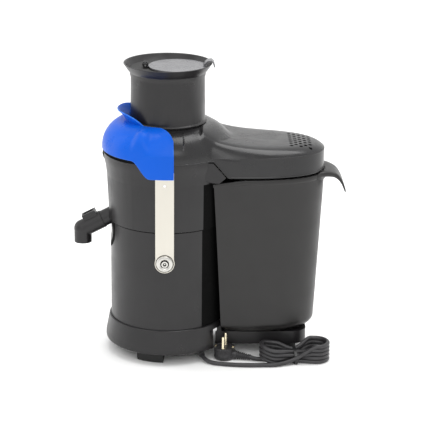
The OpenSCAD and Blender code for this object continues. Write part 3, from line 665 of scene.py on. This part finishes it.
def make_tie():
    """A flat strap round the tied middle of the hank."""
    outline = soften([(-21.6, 0.3), (15.6, 0.3), (15.9, 12), (11, 20.4), (-8, 20.8), (-21.0, 13)], 5.0, 6)
    inner = shrunk(outline, 0.9)
    half_w = 2.3
    rings = []
    for x, loop in ((-half_w, outline), (half_w, outline), (half_w, inner), (-half_w, inner)):
        rings.append([hank_point(x, p[0], p[1]) for p in loop])
    shape = skin(rings, closed_along=True)
    return piece("cord_tie_strap", *shape, "machine", BLACK, "cord_pvc", ("cord_tie",), 35)


# --- lid -----------------------------------------------------------------------------------------

def smooth_max(a, b, k):
    """The larger of two heights, blended where they differ by less than k."""
    h = max(k - abs(a - b), 0) / k
    return max(a, b) + h * h * k / 4


def hood_outline(r, w, x_mid, x_end, arc_n=108, side_n=26, end_n=72):
    """The lid from above: a rounded end, two straight sides and the dome's arc."""
    start = math.acos(math.sqrt(r * r - w * w) / r)
    out = []
    for i in range(end_n):
        t = -math.pi / 2 + math.pi * i / end_n
        along, across = spow(math.cos(t), END_ROUND), spow(math.sin(t), END_ROUND)
        out.append((x_mid + (x_end - x_mid) * along, w * across))
    for i in range(side_n):
        out.append((mix(x_mid, r * math.cos(start), i / side_n), w))
    for i in range(arc_n + 1):
        a = start + (2 * math.pi - 2 * start) * i / arc_n
        out.append((r * math.cos(a), r * math.sin(a)))
    for i in range(1, side_n):
        out.append((mix(r * math.cos(start), x_mid, i / side_n), -w))
    return out


def ridge_z(x):
    """Height of the hood along its middle."""
    if x < RIDGE_X:
        return RIDGE_Z - (RIDGE_X - x) * 2
    return HOOD_TOP_Z + (RIDGE_Z - HOOD_TOP_Z) * math.exp(-(x - RIDGE_X) / 38)


def hood_z(x, y):
    """Height of the hood, which rolls over at its sides and its end."""
    u = max(0.0, (x - HOOD_MID) / (HOOD_END - HOOD_MID))
    v = min(1.0, abs(y) / HOOD_W)
    q = min(1.0, (u ** 2.3 + v ** 2.3) ** (1 / 2.3))
    return HOOD_BASE_Z + (ridge_z(x) - v * v - HOOD_BASE_Z) * math.sqrt(max(0.0, 1 - q ** 11))


def dome_z(r):
    """Height of the round part of the lid at radius r."""
    u = min(1.0, max(0.0, r - TUBE_R) / (DOME_R - TUBE_R))
    return DOME_EDGE_Z + DOME_H * math.sqrt(max(0.0, 1 - u * u))


def lid_z(x, y):
    """Height of the lid's outer face, where dome and hood flow into each other."""
    return smooth_max(dome_z(math.hypot(x, y)), hood_z(x, y), 12)


def skirt_z(x):
    """Height of the skirt's lower edge, which steps down beside the bowl's cheek."""
    rim = RIM_Z + 0.6
    return max(SKIRT_Z, min(rim, rim - 1.16 * (x - 68.5)))


def vent_places():
    """Middles of the staggered vent holes in the hood."""
    return [(187 + c * 7.2, r * 11.6 + (c % 2) * 5.8 - 2.9) for c in range(5) for r in range(-3, 4)]


def lid_rings():
    """Rings over the lid's top, down its skirt, round the lower edge and back up inside."""
    hole = TUBE_R + 0.3
    outline = hood_outline(DOME_R, HOOD_W, HOOD_MID, HOOD_END)
    inside = hood_outline(DOME_R - 2.2, HOOD_W - 2.6, HOOD_MID, HOOD_END - 2.6)
    thick, lip_rise = 2.6, 2.6
    steps = [1 - (1 - k / 44) ** 1.7 for k in range(45)]

    def spread(p, s):
        size = math.hypot(*p)
        return (mix(p[0] / size * hole, p[0], s), mix(p[1] / size * hole, p[1], s))

    def lowered(loop, drop):
        return [(q[0], q[1], lid_z(*q) - drop) for q in loop]

    rings = [lowered([spread(p, s) for p in outline], 0.0) for s in steps]
    for t in (0.2, 0.4, 0.6, 0.8):
        rings.append([(p[0], p[1], mix(lid_z(*p), skirt_z(p[0]) + lip_rise, t)) for p in outline])
    lip = ((0.0, lip_rise), (0.05, 2.3), (0.7, 1.9), (0.8, 1.5), (0.8, 0.5), (0.45, 0.1), (0.0, 0.0))
    for off, rise in lip:
        ring = []
        for x, y in outline:
            fade = smooth((x - 14) / 16) * smooth((HOOD_END - 1 - x) / 12)
            grow = 1 + off * fade / math.hypot(x, y)
            ring.append((x * grow, y * grow, skirt_z(x) + rise))
        rings.append(ring)
    rings.append([(p[0], p[1], skirt_z(p[0])) for p in inside])
    for t in (0.3, 0.7):
        rings.append([(p[0], p[1], mix(skirt_z(p[0]), lid_z(*p) - thick, t)) for p in inside])
    rings += [lowered([spread(p, s) for p in inside], thick) for s in reversed(steps[::3] + [1.0])]
    return rings


def vent_cutters():
    """One mesh of six-sided prisms, one at each vent."""
    vent_r = 3.1
    cutters = []
    for x, y in vent_places():
        corners = [math.pi / 3 * k for k in range(6)]
        ring = [(x + vent_r * math.cos(a), y + vent_r * math.sin(a)) for a in corners]
        cutters.append(skin([[(px, py, z) for px, py in ring] for z in (317.0, 380.0)]))
    points, faces = joined(*cutters)
    me = bpy.data.meshes.new("vent_cutters")
    me.from_pydata([at(*p) for p in points], [], faces)
    tool = bpy.data.objects.new("vent_cutters", me)
    bpy.context.scene.collection.objects.link(tool)
    return tool


def make_lid():
    """The lid's shell with its vent holes cut through."""
    shape = skin(lid_rings(), closed_along=True)
    lid = piece("lid_shell", *shape, "machine", GLOSSY, "housing_plastic", ("lid",), 42)
    tool = vent_cutters()
    cut = lid.modifiers.new("vents", "BOOLEAN")
    cut.operation = "DIFFERENCE"
    cut.solver = "EXACT"
    cut.object = tool
    apply_modifiers(lid)
    bpy.data.objects.remove(tool)
    lid.data.set_sharp_from_angle(angle=math.radians(42))


def make_marker_rib():
    """The small upright rib on the lid's near side."""
    fin = []
    for k in range(13):
        t = k / 12
        x, y = mix(22.9, 24.2, t), mix(-66.0, -90.5, t)
        w, h = mix(0.5, 2.1, t), 3.2 * math.sin(math.pi * min(1.0, 0.08 + t * 0.9)) ** 0.7
        section = ((-1.0, -0.8), (-0.9, 0.2), (-0.2, h), (0.2, h), (0.9, 0.2), (1.0, -0.8))
        fin.append([(x + u * w, y, lid_z(x + u * w, y) + lift) for u, lift in section])
    piece("lid_marker_rib", *skin(fin), "machine", GLOSSY, "housing_plastic", (), 30)


def apply_modifiers(obj):
    """Replaces the object's mesh with the result of its modifiers."""
    deps = bpy.context.evaluated_depsgraph_get()
    made = bpy.data.meshes.new_from_object(obj.evaluated_get(deps))
    obj.modifiers.clear()
    old = obj.data
    obj.data = made
    bpy.data.meshes.remove(old)


# --- clamp ---------------------------------------------------------------------------------------

def rounded_fixed(loop, radius, steps=2):
    """Rounds every corner with the same number of points, so that sections can be joined."""
    out = []
    count = len(loop)
    for i in range(count):
        a, b, c = Vector(loop[i - 1]), Vector(loop[i]), Vector(loop[(i + 1) % count])
        before, after = a - b, c - b
        p = b + before.normalized() * min(radius, before.length * 0.45)
        q = b + after.normalized() * min(radius, after.length * 0.45)
        for k in range(steps + 1):
            t = k / steps
            r = p * (1 - t) ** 2 + b * (2 * t * (1 - t)) + q * t * t
            out.append((r.x, r.y))
    return out


def yoke_dome(r, lift, power):
    """Height of the clamp's dome at radius r, raised by lift."""
    u = min(1.0, max(0.0, r - YOKE_INNER) / (DOME_R + 1 + lift - YOKE_INNER))
    return YOKE_EDGE_Z + (DOME_H + lift) * max(0.0, 1 - u ** power) ** (1 / power)


def bowed(p, q, r, t):
    """A point of the curve from p to r that leans towards q."""
    return tuple(p[i] * (1 - t) ** 2 + 2 * q[i] * t * (1 - t) + r[i] * t * t for i in range(2))


def yoke_section(a):
    """Outline of the clamp's shell as (radius, height) at angle a from the spout side."""
    b = abs(a)
    has_lip = b < LIP_HALF
    inner_r = 61.5 if b < 55 else 61.5 + 32 * max(0.0, (b - 76) / 19) ** 2
    edge, inner_edge = DOME_R + 4.2, DOME_R + 1.1
    power = mix(2.0, 3.3, smooth((b - 54) / 10))
    creased = smooth((b - 66) / 8)
    hem_z = mix(324.5, 299, smooth((b - 57) / 17))
    foot = (inner_r + 2.5, yoke_dome(inner_r + 2.5, 3.2, power))
    if has_lip:
        fall = b / LIP_HALF
        top_r, top_z = 76 - 14 * fall ** 2, mix(386, 368.5, fall ** 4)
        out = [(top_r, top_z), (top_r + 1.3, top_z - 1.6)]
        for t in (0.3, 0.6, 0.85):
            out.append((mix(top_r + 1.3, foot[0] + 0.6, t ** 0.8), mix(top_z - 1.6, foot[1] + 0.4, t)))
    else:
        top_r, top_z = inner_r, yoke_dome(inner_r, 1.6, 2.0)
        out = [(top_r, top_z), (top_r + 0.8, top_z + 0.2)]
        for t in (0.3, 0.6, 0.85):
            r = mix(top_r + 0.8, foot[0], t)
            out.append((r, yoke_dome(r, mix(1.8, 3.2, t), power)))
    for k in range(15):
        r = mix(foot[0], edge, math.sin(math.pi / 2 * k / 14))
        round_point = (r, yoke_dome(r, 3.2, power))
        flat_point = bowed((edge, CREASE_Z), (93.0, 361.0), foot, 1 - k / 14)
        out.append(tuple(mix(u, v, creased) for u, v in zip(round_point, flat_point)))
    out += [(edge, mix(out[-1][1], hem_z, 0.5)), (edge, hem_z)]
    out += [(inner_edge, hem_z), (inner_edge, mix(YOKE_EDGE_Z, hem_z, 0.5))]
    for k in range(10, -1, -1):
        r = mix(inner_r, inner_edge, math.sin(math.pi / 2 * k / 10))
        out.append((r, yoke_dome(r, 0.2, 2.0)))
    back_z = yoke_dome(inner_r, 0.2, 2.0)
    back_steps = ((0.35, 0.4), (0.7, 0.75)) if has_lip else ((0.3, 0.3), (0.6, 0.6))
    out += [(mix(inner_r, top_r, across), mix(back_z, top_z, up)) for across, up in back_steps]
    return rounded_fixed(out, 0.9)


def make_clamp():
    """The clamp's shell, carried round from one arm over the spout side to the other."""
    arm_end = 95.0
    rings = []
    for k in range(128):
        a = mix(arm_end, -arm_end, k / 127)
        t = math.radians(a)
        rings.append([(-r * math.cos(t), r * math.sin(t), z) for r, z in yoke_section(a)])
    piece("clamp_shell", *skin(rings), "clamp", BLUE, "clamp_blue", ("clamp_yoke",), 48)


# --- pulp bin ------------------------------------------------------------------------------------

def bin_ring(z, inset, dip=0.0, grow=0.0):
    """The bin's outline at a height: a rounded end, and a hollow side that hugs the body."""
    t = (z - BIN_Z0) / (BIN_Z1 - BIN_Z0)
    rise = z - BIN_Z0 - (WALL if inset > 0 else 0)
    corner = 14 * max(0.0, 1 - rise / 16) ** 2
    hug = mix(101, 96, t) + inset + corner
    w = mix(61, BIN_W, t) - inset - corner + grow
    end = mix(228, 241, t) - inset - corner + grow
    hug_half = math.asin(w / hug)
    outer_n, hug_n = 96, 36
    ring = []
    for i in range(outer_n + hug_n):
        if i < outer_n:
            a = -math.pi / 2 + math.pi * i / (outer_n - 1)
            x, y = mix(HOOD_MID, end, spow(math.cos(a), END_ROUND)), w * spow(math.sin(a), END_ROUND)
        else:
            a = hug_half - 2 * hug_half * (i - outer_n + 1) / (hug_n + 1)
            x, y = hug * math.cos(a), hug * math.sin(a)
        ring.append((x, y, z - dip * smooth((100 - x) / 10)))
    return ring


# The middle line of the handle, as (x, height, thickness).
HANDLE_LINE = [(238.8, 283.0, 11.0), (243.6, 289.2, 9.4), (250.0, 288.4, 8.6), (257.0, 284.8, 7.2),
               (262.6, 279.6, 5.6), (267.2, 272.4, 4.2), (270.4, 264.6, 3.2), (272.2, 259.0, 2.6)]


def through(knots, steps):
    """Points of a smooth curve through the knots."""
    out = []
    last = len(knots) - 1
    for i in range(last):
        a, b, c, d = (Vector(knots[min(max(k, 0), last)]) for k in (i - 1, i, i + 1, i + 2))
        for k in range(steps):
            t = k / steps
            out.append(b + (c - a) * (t / 2) + (2 * a - 5 * b + 4 * c - d) * (t * t / 2)
                       + (3 * b - a - 3 * c + d) * (t ** 3 / 2))
    return out + [Vector(knots[last])]


def handle_width(x):
    """Half width of the handle, broad where it leaves the rim."""
    return mix(mix(39, 29, smooth((x - 243) / 15)), 25, smooth((x - 256) / 17))


def wall_place(y):
    """Where the bin's rounded end stands at a distance y from its middle."""
    across = (abs(y) / BIN_W) ** (2 / END_ROUND)
    return mix(HOOD_MID, HOOD_END, (1 - across) ** (END_ROUND / 2))


def handle_blade():
    """The curled handle, whose root follows the bin's rounded end."""
    line = through(HANDLE_LINE, 5)
    across = [math.sin(math.pi / 2 * k / 14) for k in range(-14, 15)]
    loop = [(v, 1) for v in across] + [(v, -1) for v in reversed(across[1:-1])]
    edge_round = 16
    rings = []
    for k, (x, z, thick) in enumerate(line):
        ahead = line[min(k + 1, len(line) - 1)] - line[max(k - 1, 0)]
        lift = Vector((-ahead[1], ahead[0])).normalized() * thick / 2
        near_wall = 1 - smooth((x - HOOD_END) / 20)
        ring = []
        for v, face in loop:
            y = v * handle_width(x)
            reach = face * math.sqrt(max(0.0, 1 - v ** edge_round))
            back = (HOOD_END - wall_place(y)) * near_wall
            ring.append((x + lift.x * reach - back, y, z + lift.y * reach))
        rings.append(ring)
    return skin(rings)


def make_bin():
    """The bin's outer wall, its rolled rim that dips towards the body, its inside and its handle."""
    rings = [bin_ring(z, 0) for z in (38, 38.6, 39.6, 41, 43, 45.5, 48.5, 52, 55)]
    rings += [bin_ring(z, 0) for z in range(64, 275, 14)]
    rim = ((281.5, 0, 3, 0), (282.4, 0, 4, 0.1), (283.2, 0, 5, 0.8), (284.4, 0, 6, 0.9), (289.2, 0, 7, 0.9),
           (289.8, 0, 7, 0.5), (290, 0.6, 7, 0), (290, 2.4, 7, 0), (289.6, 2.9, 7, 0), (288, WALL, 7, 0),
           (284, WALL, 7, 0))
    rings += [bin_ring(*entry) for entry in rim]
    rings += [bin_ring(z, WALL) for z in (240, 190, 140, 90, 58, 50, 45.5, 42.5, 41)]
    shape = joined(skin(rings), handle_blade())
    piece("bin_shell", *shape, "bin", BIN, "bin_plastic", ("pulp_bin",), 42)


# --- moulded and turned parts on their CAD shapes ------------------------------------------------

def refined(node, name, body, finish, slot, width, segments=2, sharpest=28):
    """A part built on a CAD node's own surface, with its machined edges rounded over."""
    me = frame["nodes"][node].data.copy()
    me.name = name
    me.materials.clear()
    bm = bmesh.new()
    bm.from_mesh(me)
    bmesh.ops.remove_doubles(bm, verts=bm.verts, dist=2e-6)
    bmesh.ops.dissolve_limit(bm, angle_limit=math.radians(0.6), verts=bm.verts, edges=bm.edges)
    sharp = math.radians(sharpest)
    turned = [e for e in bm.edges if len(e.link_faces) == 2 and e.calc_face_angle(0.0) > sharp]
    bmesh.ops.bevel(bm, geom=turned, offset=width * MM, offset_type="OFFSET", segments=segments,
                    profile=0.5, affect="EDGES", clamp_overlap=True, miter_outer="ARC", loop_slide=True)
    bmesh.ops.remove_doubles(bm, verts=bm.verts, dist=1e-6)
    mark_edges(bm)
    bm.to_mesh(me)
    bm.free()
    me.shade_smooth()
    me.set_sharp_from_angle(angle=math.radians(42))
    obj = bpy.data.objects.new(name, me)
    bpy.context.scene.collection.objects.link(obj)
    me.materials.append(finish)
    even = obj.modifiers.new("even_shading", "WEIGHTED_NORMAL")
    even.keep_sharp = True
    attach(obj, body)
    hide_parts(node)
    return obj


def paint_bin_side_shade(obj):
    """Paints shade on the side of the body that faces the bin: a matt near-black panel with straight edges.
    """
    outer_r = HOUSING_R - 1.5
    obj.data.materials.append(SHADE_BLACK)
    bm = bmesh.new()
    bm.from_mesh(obj.data)
    cuts = [((math.sin(BIN_SIDE_SHADE_HALF), side * math.cos(BIN_SIDE_SHADE_HALF), 0), 0.0) for side in (-1, 1)]
    for normal, height in cuts + [((0, 0, 1), BIN_SIDE_SHADE_TOP)]:
        bmesh.ops.bisect_plane(bm, geom=bm.verts[:] + bm.edges[:] + bm.faces[:], dist=1e-6,
                               plane_co=(SPINDLE_X * MM, 0, height * MM), plane_no=normal)
    for face in bm.faces:
        centre = face.calc_center_median()
        x, y, z = centre.x / MM - SPINDLE_X, centre.y / MM, centre.z / MM
        facing = abs(math.atan2(y, x)) < BIN_SIDE_SHADE_HALF and math.hypot(x, y) > outer_r
        if facing and BIN_SIDE_SHADE_FOOT < z < BIN_SIDE_SHADE_TOP:
            # Painted shade: faces on the bin side take the near-black shade finish.
            face.material_index = 1
    bm.to_mesh(obj.data)
    bm.free()


def widen_mouth(obj):
    """Opens the rim of the feed tube a little more, as a soft flare."""
    flare_z, flare_h, most = 0.444, 0.01, 0.02
    for v in obj.data.vertices:
        x, y = v.co.x - SPINDLE_X * MM, v.co.y
        if v.co.z > flare_z:
            grow = 1 + most * smooth((v.co.z - flare_z) / flare_h)
            v.co.x, v.co.y = x * grow + SPINDLE_X * MM, y * grow


def flare_rim(obj):
    """Opens the bowl's outer wall a little towards its rim on the spout side."""
    flare_z, flare_h, most = 240.0, 75.0, 3.6
    for v in obj.data.vertices:
        x, y, z = v.co.x / MM - SPINDLE_X, v.co.y / MM, v.co.z / MM
        r = math.hypot(x, y)
        if r < BOWL_R - 1 or r > BOWL_R + 5 or z < flare_z:
            continue
        out = most * smooth((z - flare_z) / flare_h) * smooth((-x / r - 0.35) / 0.35)
        v.co.x, v.co.y = (x * (1 + out / r) + SPINDLE_X) * MM, y * (1 + out / r) * MM


# CAD node, name of the piece, body, finish, slot and the width of its rounded edges.
REFINED = [
    ("base", "base_moulding", "machine", BODY, "housing_plastic", 0.7),
    ("motor_housing", "housing_moulding", "machine", BODY, "housing_plastic", 0.7),
    ("juice_bowl", "bowl_moulding", "machine", BODY, "housing_plastic", 0.5),
    ("feed_tube", "feed_tube_moulding", "machine", BODY, "housing_plastic", 0.4),
    ("spout_neck", "spout_neck_moulding", "machine", BODY, "housing_plastic", 0.5),
    ("spout_elbow", "spout_elbow_moulding", "spout", BODY, "housing_plastic", 0.5),
    ("feed_flap", "flap_moulding", "flap", FLAP, "flap_plastic", 0.4),
    ("flap_bracket", "flap_bracket_moulding", "machine", BLACK, "black_plastic", 0.3),
    ("clamp_bar_near", "clamp_bar_plate_near", "clamp", STEEL, "brushed_steel", 0.4),
    ("clamp_bar_far", "clamp_bar_plate_far", "clamp", STEEL, "brushed_steel", 0.4),
    ("pivot_cups", "pivot_cup_turned", "machine", BRIGHT, "bright_steel", 0.3),
    ("pivot_screws", "pivot_screw_turned", "machine", BRIGHT, "bright_steel", 0.2),
    ("pivot_bosses", "pivot_boss_moulding", "machine", BLACK, "black_plastic", 0.4),
    ("bowl_catch", "catch_moulding", "machine", BLACK, "black_plastic", 0.4),
    ("switch_frame", "switch_frame_moulding", "machine", BLACK, "black_plastic", 0.4),
    ("switch_rocker", "rocker_moulding", "rocker", GREEN, "rocker_green", 0.4),
    ("foot_front_near", "foot_front_near_rubber", "machine", RUBBER, "rubber_black", 0.8),
    ("foot_front_far", "foot_front_far_rubber", "machine", RUBBER, "rubber_black", 0.8),
    ("foot_rear_near", "foot_rear_near_rubber", "machine", RUBBER, "rubber_black", 0.8),
    ("foot_rear_far", "foot_rear_far_rubber", "machine", RUBBER, "rubber_black", 0.8),
    ("bottom_plate", "bottom_plate_moulding", "machine", BLACK, "black_plastic", 0.4),
]


def refine_nodes():
    """Makes every refined part, and gives three of them their own touches."""
    made = {entry[0]: refined(*entry) for entry in REFINED}
    # Painted shade on the bin side of housing and bowl.
    paint_bin_side_shade(made["motor_housing"])
    paint_bin_side_shade(made["juice_bowl"])
    widen_mouth(made["feed_tube"])
    flare_rim(made["juice_bowl"])


# --- small trims ---------------------------------------------------------------------------------

def make_seam_seal_and_shade():
    """A thin seal in the joint between housing and bowl, in the near-black shade finish: partly the seal's
    own dark colour, partly painted shade under the bowl's overhang.
    """
    profile = [(88.45, 211.9), (89.3, 211.9), (89.7, 212.6), (89.7, 213.6), (88.45, 213.6)]
    shape = arc_band(soften(profile, 0.25, 2), -168, 168, 140)
    piece("housing_seam_seal_and_shade", *shape, "machine", SHADE_BLACK, "rubber_black", (), 40)


def make_lid_joint_shade():
    """Painted shade: a near-black band in the gap between the bowl and the lid under the clamp."""
    profile = [(95.4, 319.2), (96.9, 319.2), (97.2, 320.2), (97.2, 323.4), (96.9, 324.4), (95.4, 324.4)]
    shape = arc_band(soften(profile, 0.3, 2), 118, 242, 60)
    piece("lid_joint_painted_shade", *shape, "machine", SHADE_BLACK, "rubber_black", (), 40)


def make_spout_shade():
    """Painted shade: a U-shaped near-black band on the housing behind the spout."""
    sunk, proud = HOUSING_R - 0.4, HOUSING_R + 0.25
    section = ((0.0, sunk), (0.0, proud), (SHADE_U_WIDTH, proud), (SHADE_U_WIDTH, sunk))
    rings = []
    for k in range(45):
        t = k / 44
        turn = math.pi * min(1.0, max(0.0, (t - SHADE_U_LEG) / (1 - 2 * SHADE_U_LEG)))
        up = max(0.0, SHADE_U_LEG - t, t - 1 + SHADE_U_LEG) / SHADE_U_LEG
        z = mix(SHADE_U_BEND_Z, SHADE_U_TOP_Z, up) - SHADE_U_DROP * math.sin(turn)
        ring = []
        for across, r in section:
            y = -math.cos(turn) * (SHADE_U_REACH + across)
            ring.append((-math.sqrt(r * r - y * y), y, z - across * math.sin(turn)))
        rings.append(ring)
    # Painted shade band, laid just proud of the housing's surface.
    piece("spout_painted_shade", *skin(rings), "machine", SHADE_BLACK, "rubber_black", (), 40)


def make_pivot_shade_rings():
    """Painted shade: near-black rings round each clamp pivot, under the screw head, round the cup and in the
    socket.
    """
    head_shade = soften([(5.1, 1.4), (6.4, 1.4), (6.4, 2.2), (5.1, 2.2)], 0.15, 2)
    shade = soften([(13.05, 0.0), (13.75, 0.0), (13.75, 0.5), (13.05, 0.5)], 0.15, 2)
    socket = soften([(1.2, 2.5), (2.5, 2.5), (2.5, 2.8), (1.2, 2.8)], 0.1, 2)
    for side, name in ((-1, "pivot_shade_near"), (1, "pivot_shade_far")):
        rings = joined(*(lathe(profile, 64) for profile in (head_shade, shade, socket)))
        origin = (PIVOT[0], side * PIVOT_FACE, PIVOT[1])
        shape = placed(rings, origin, (0, side, 0))
        piece(name, *shape, "machine", SHADE_BLACK, "black_plastic", (), 40)


def make_hinge_curl():
    """The rolled end of the feed flap round its pin."""
    pin_x, pin_z, roll_r, half_t, half_w = -34, 452.6, 3.9, 0.9, 2.6
    rings = []
    for k in range(22):
        a = math.radians(mix(-60, 215, k / 21))
        ring = []
        for i in range(10):
            b = 2 * math.pi * i / 10
            r = roll_r + half_t * math.cos(b)
            ring.append((pin_x + r * math.cos(a), half_w * math.sin(b), pin_z + r * math.sin(a)))
        rings.append(ring)
    piece("flap_hinge_curl", *skin(rings), "flap", BLACK, "black_plastic", (), 50)


# --- the whole object ----------------------------------------------------------------------------

make_camera()
make_floor()
make_light()
dress_cad_nodes()
cord = make_cord()
cord_pieces = [plug_shell(), plug_contacts(), plug_relief(), make_gland(), make_tie()]
make_lid()
make_marker_rib()
make_clamp()
make_bin()
refine_nodes()
make_seam_seal_and_shade()
make_spout_shade()
make_lid_joint_shade()
make_pivot_shade_rings()
make_hinge_curl()
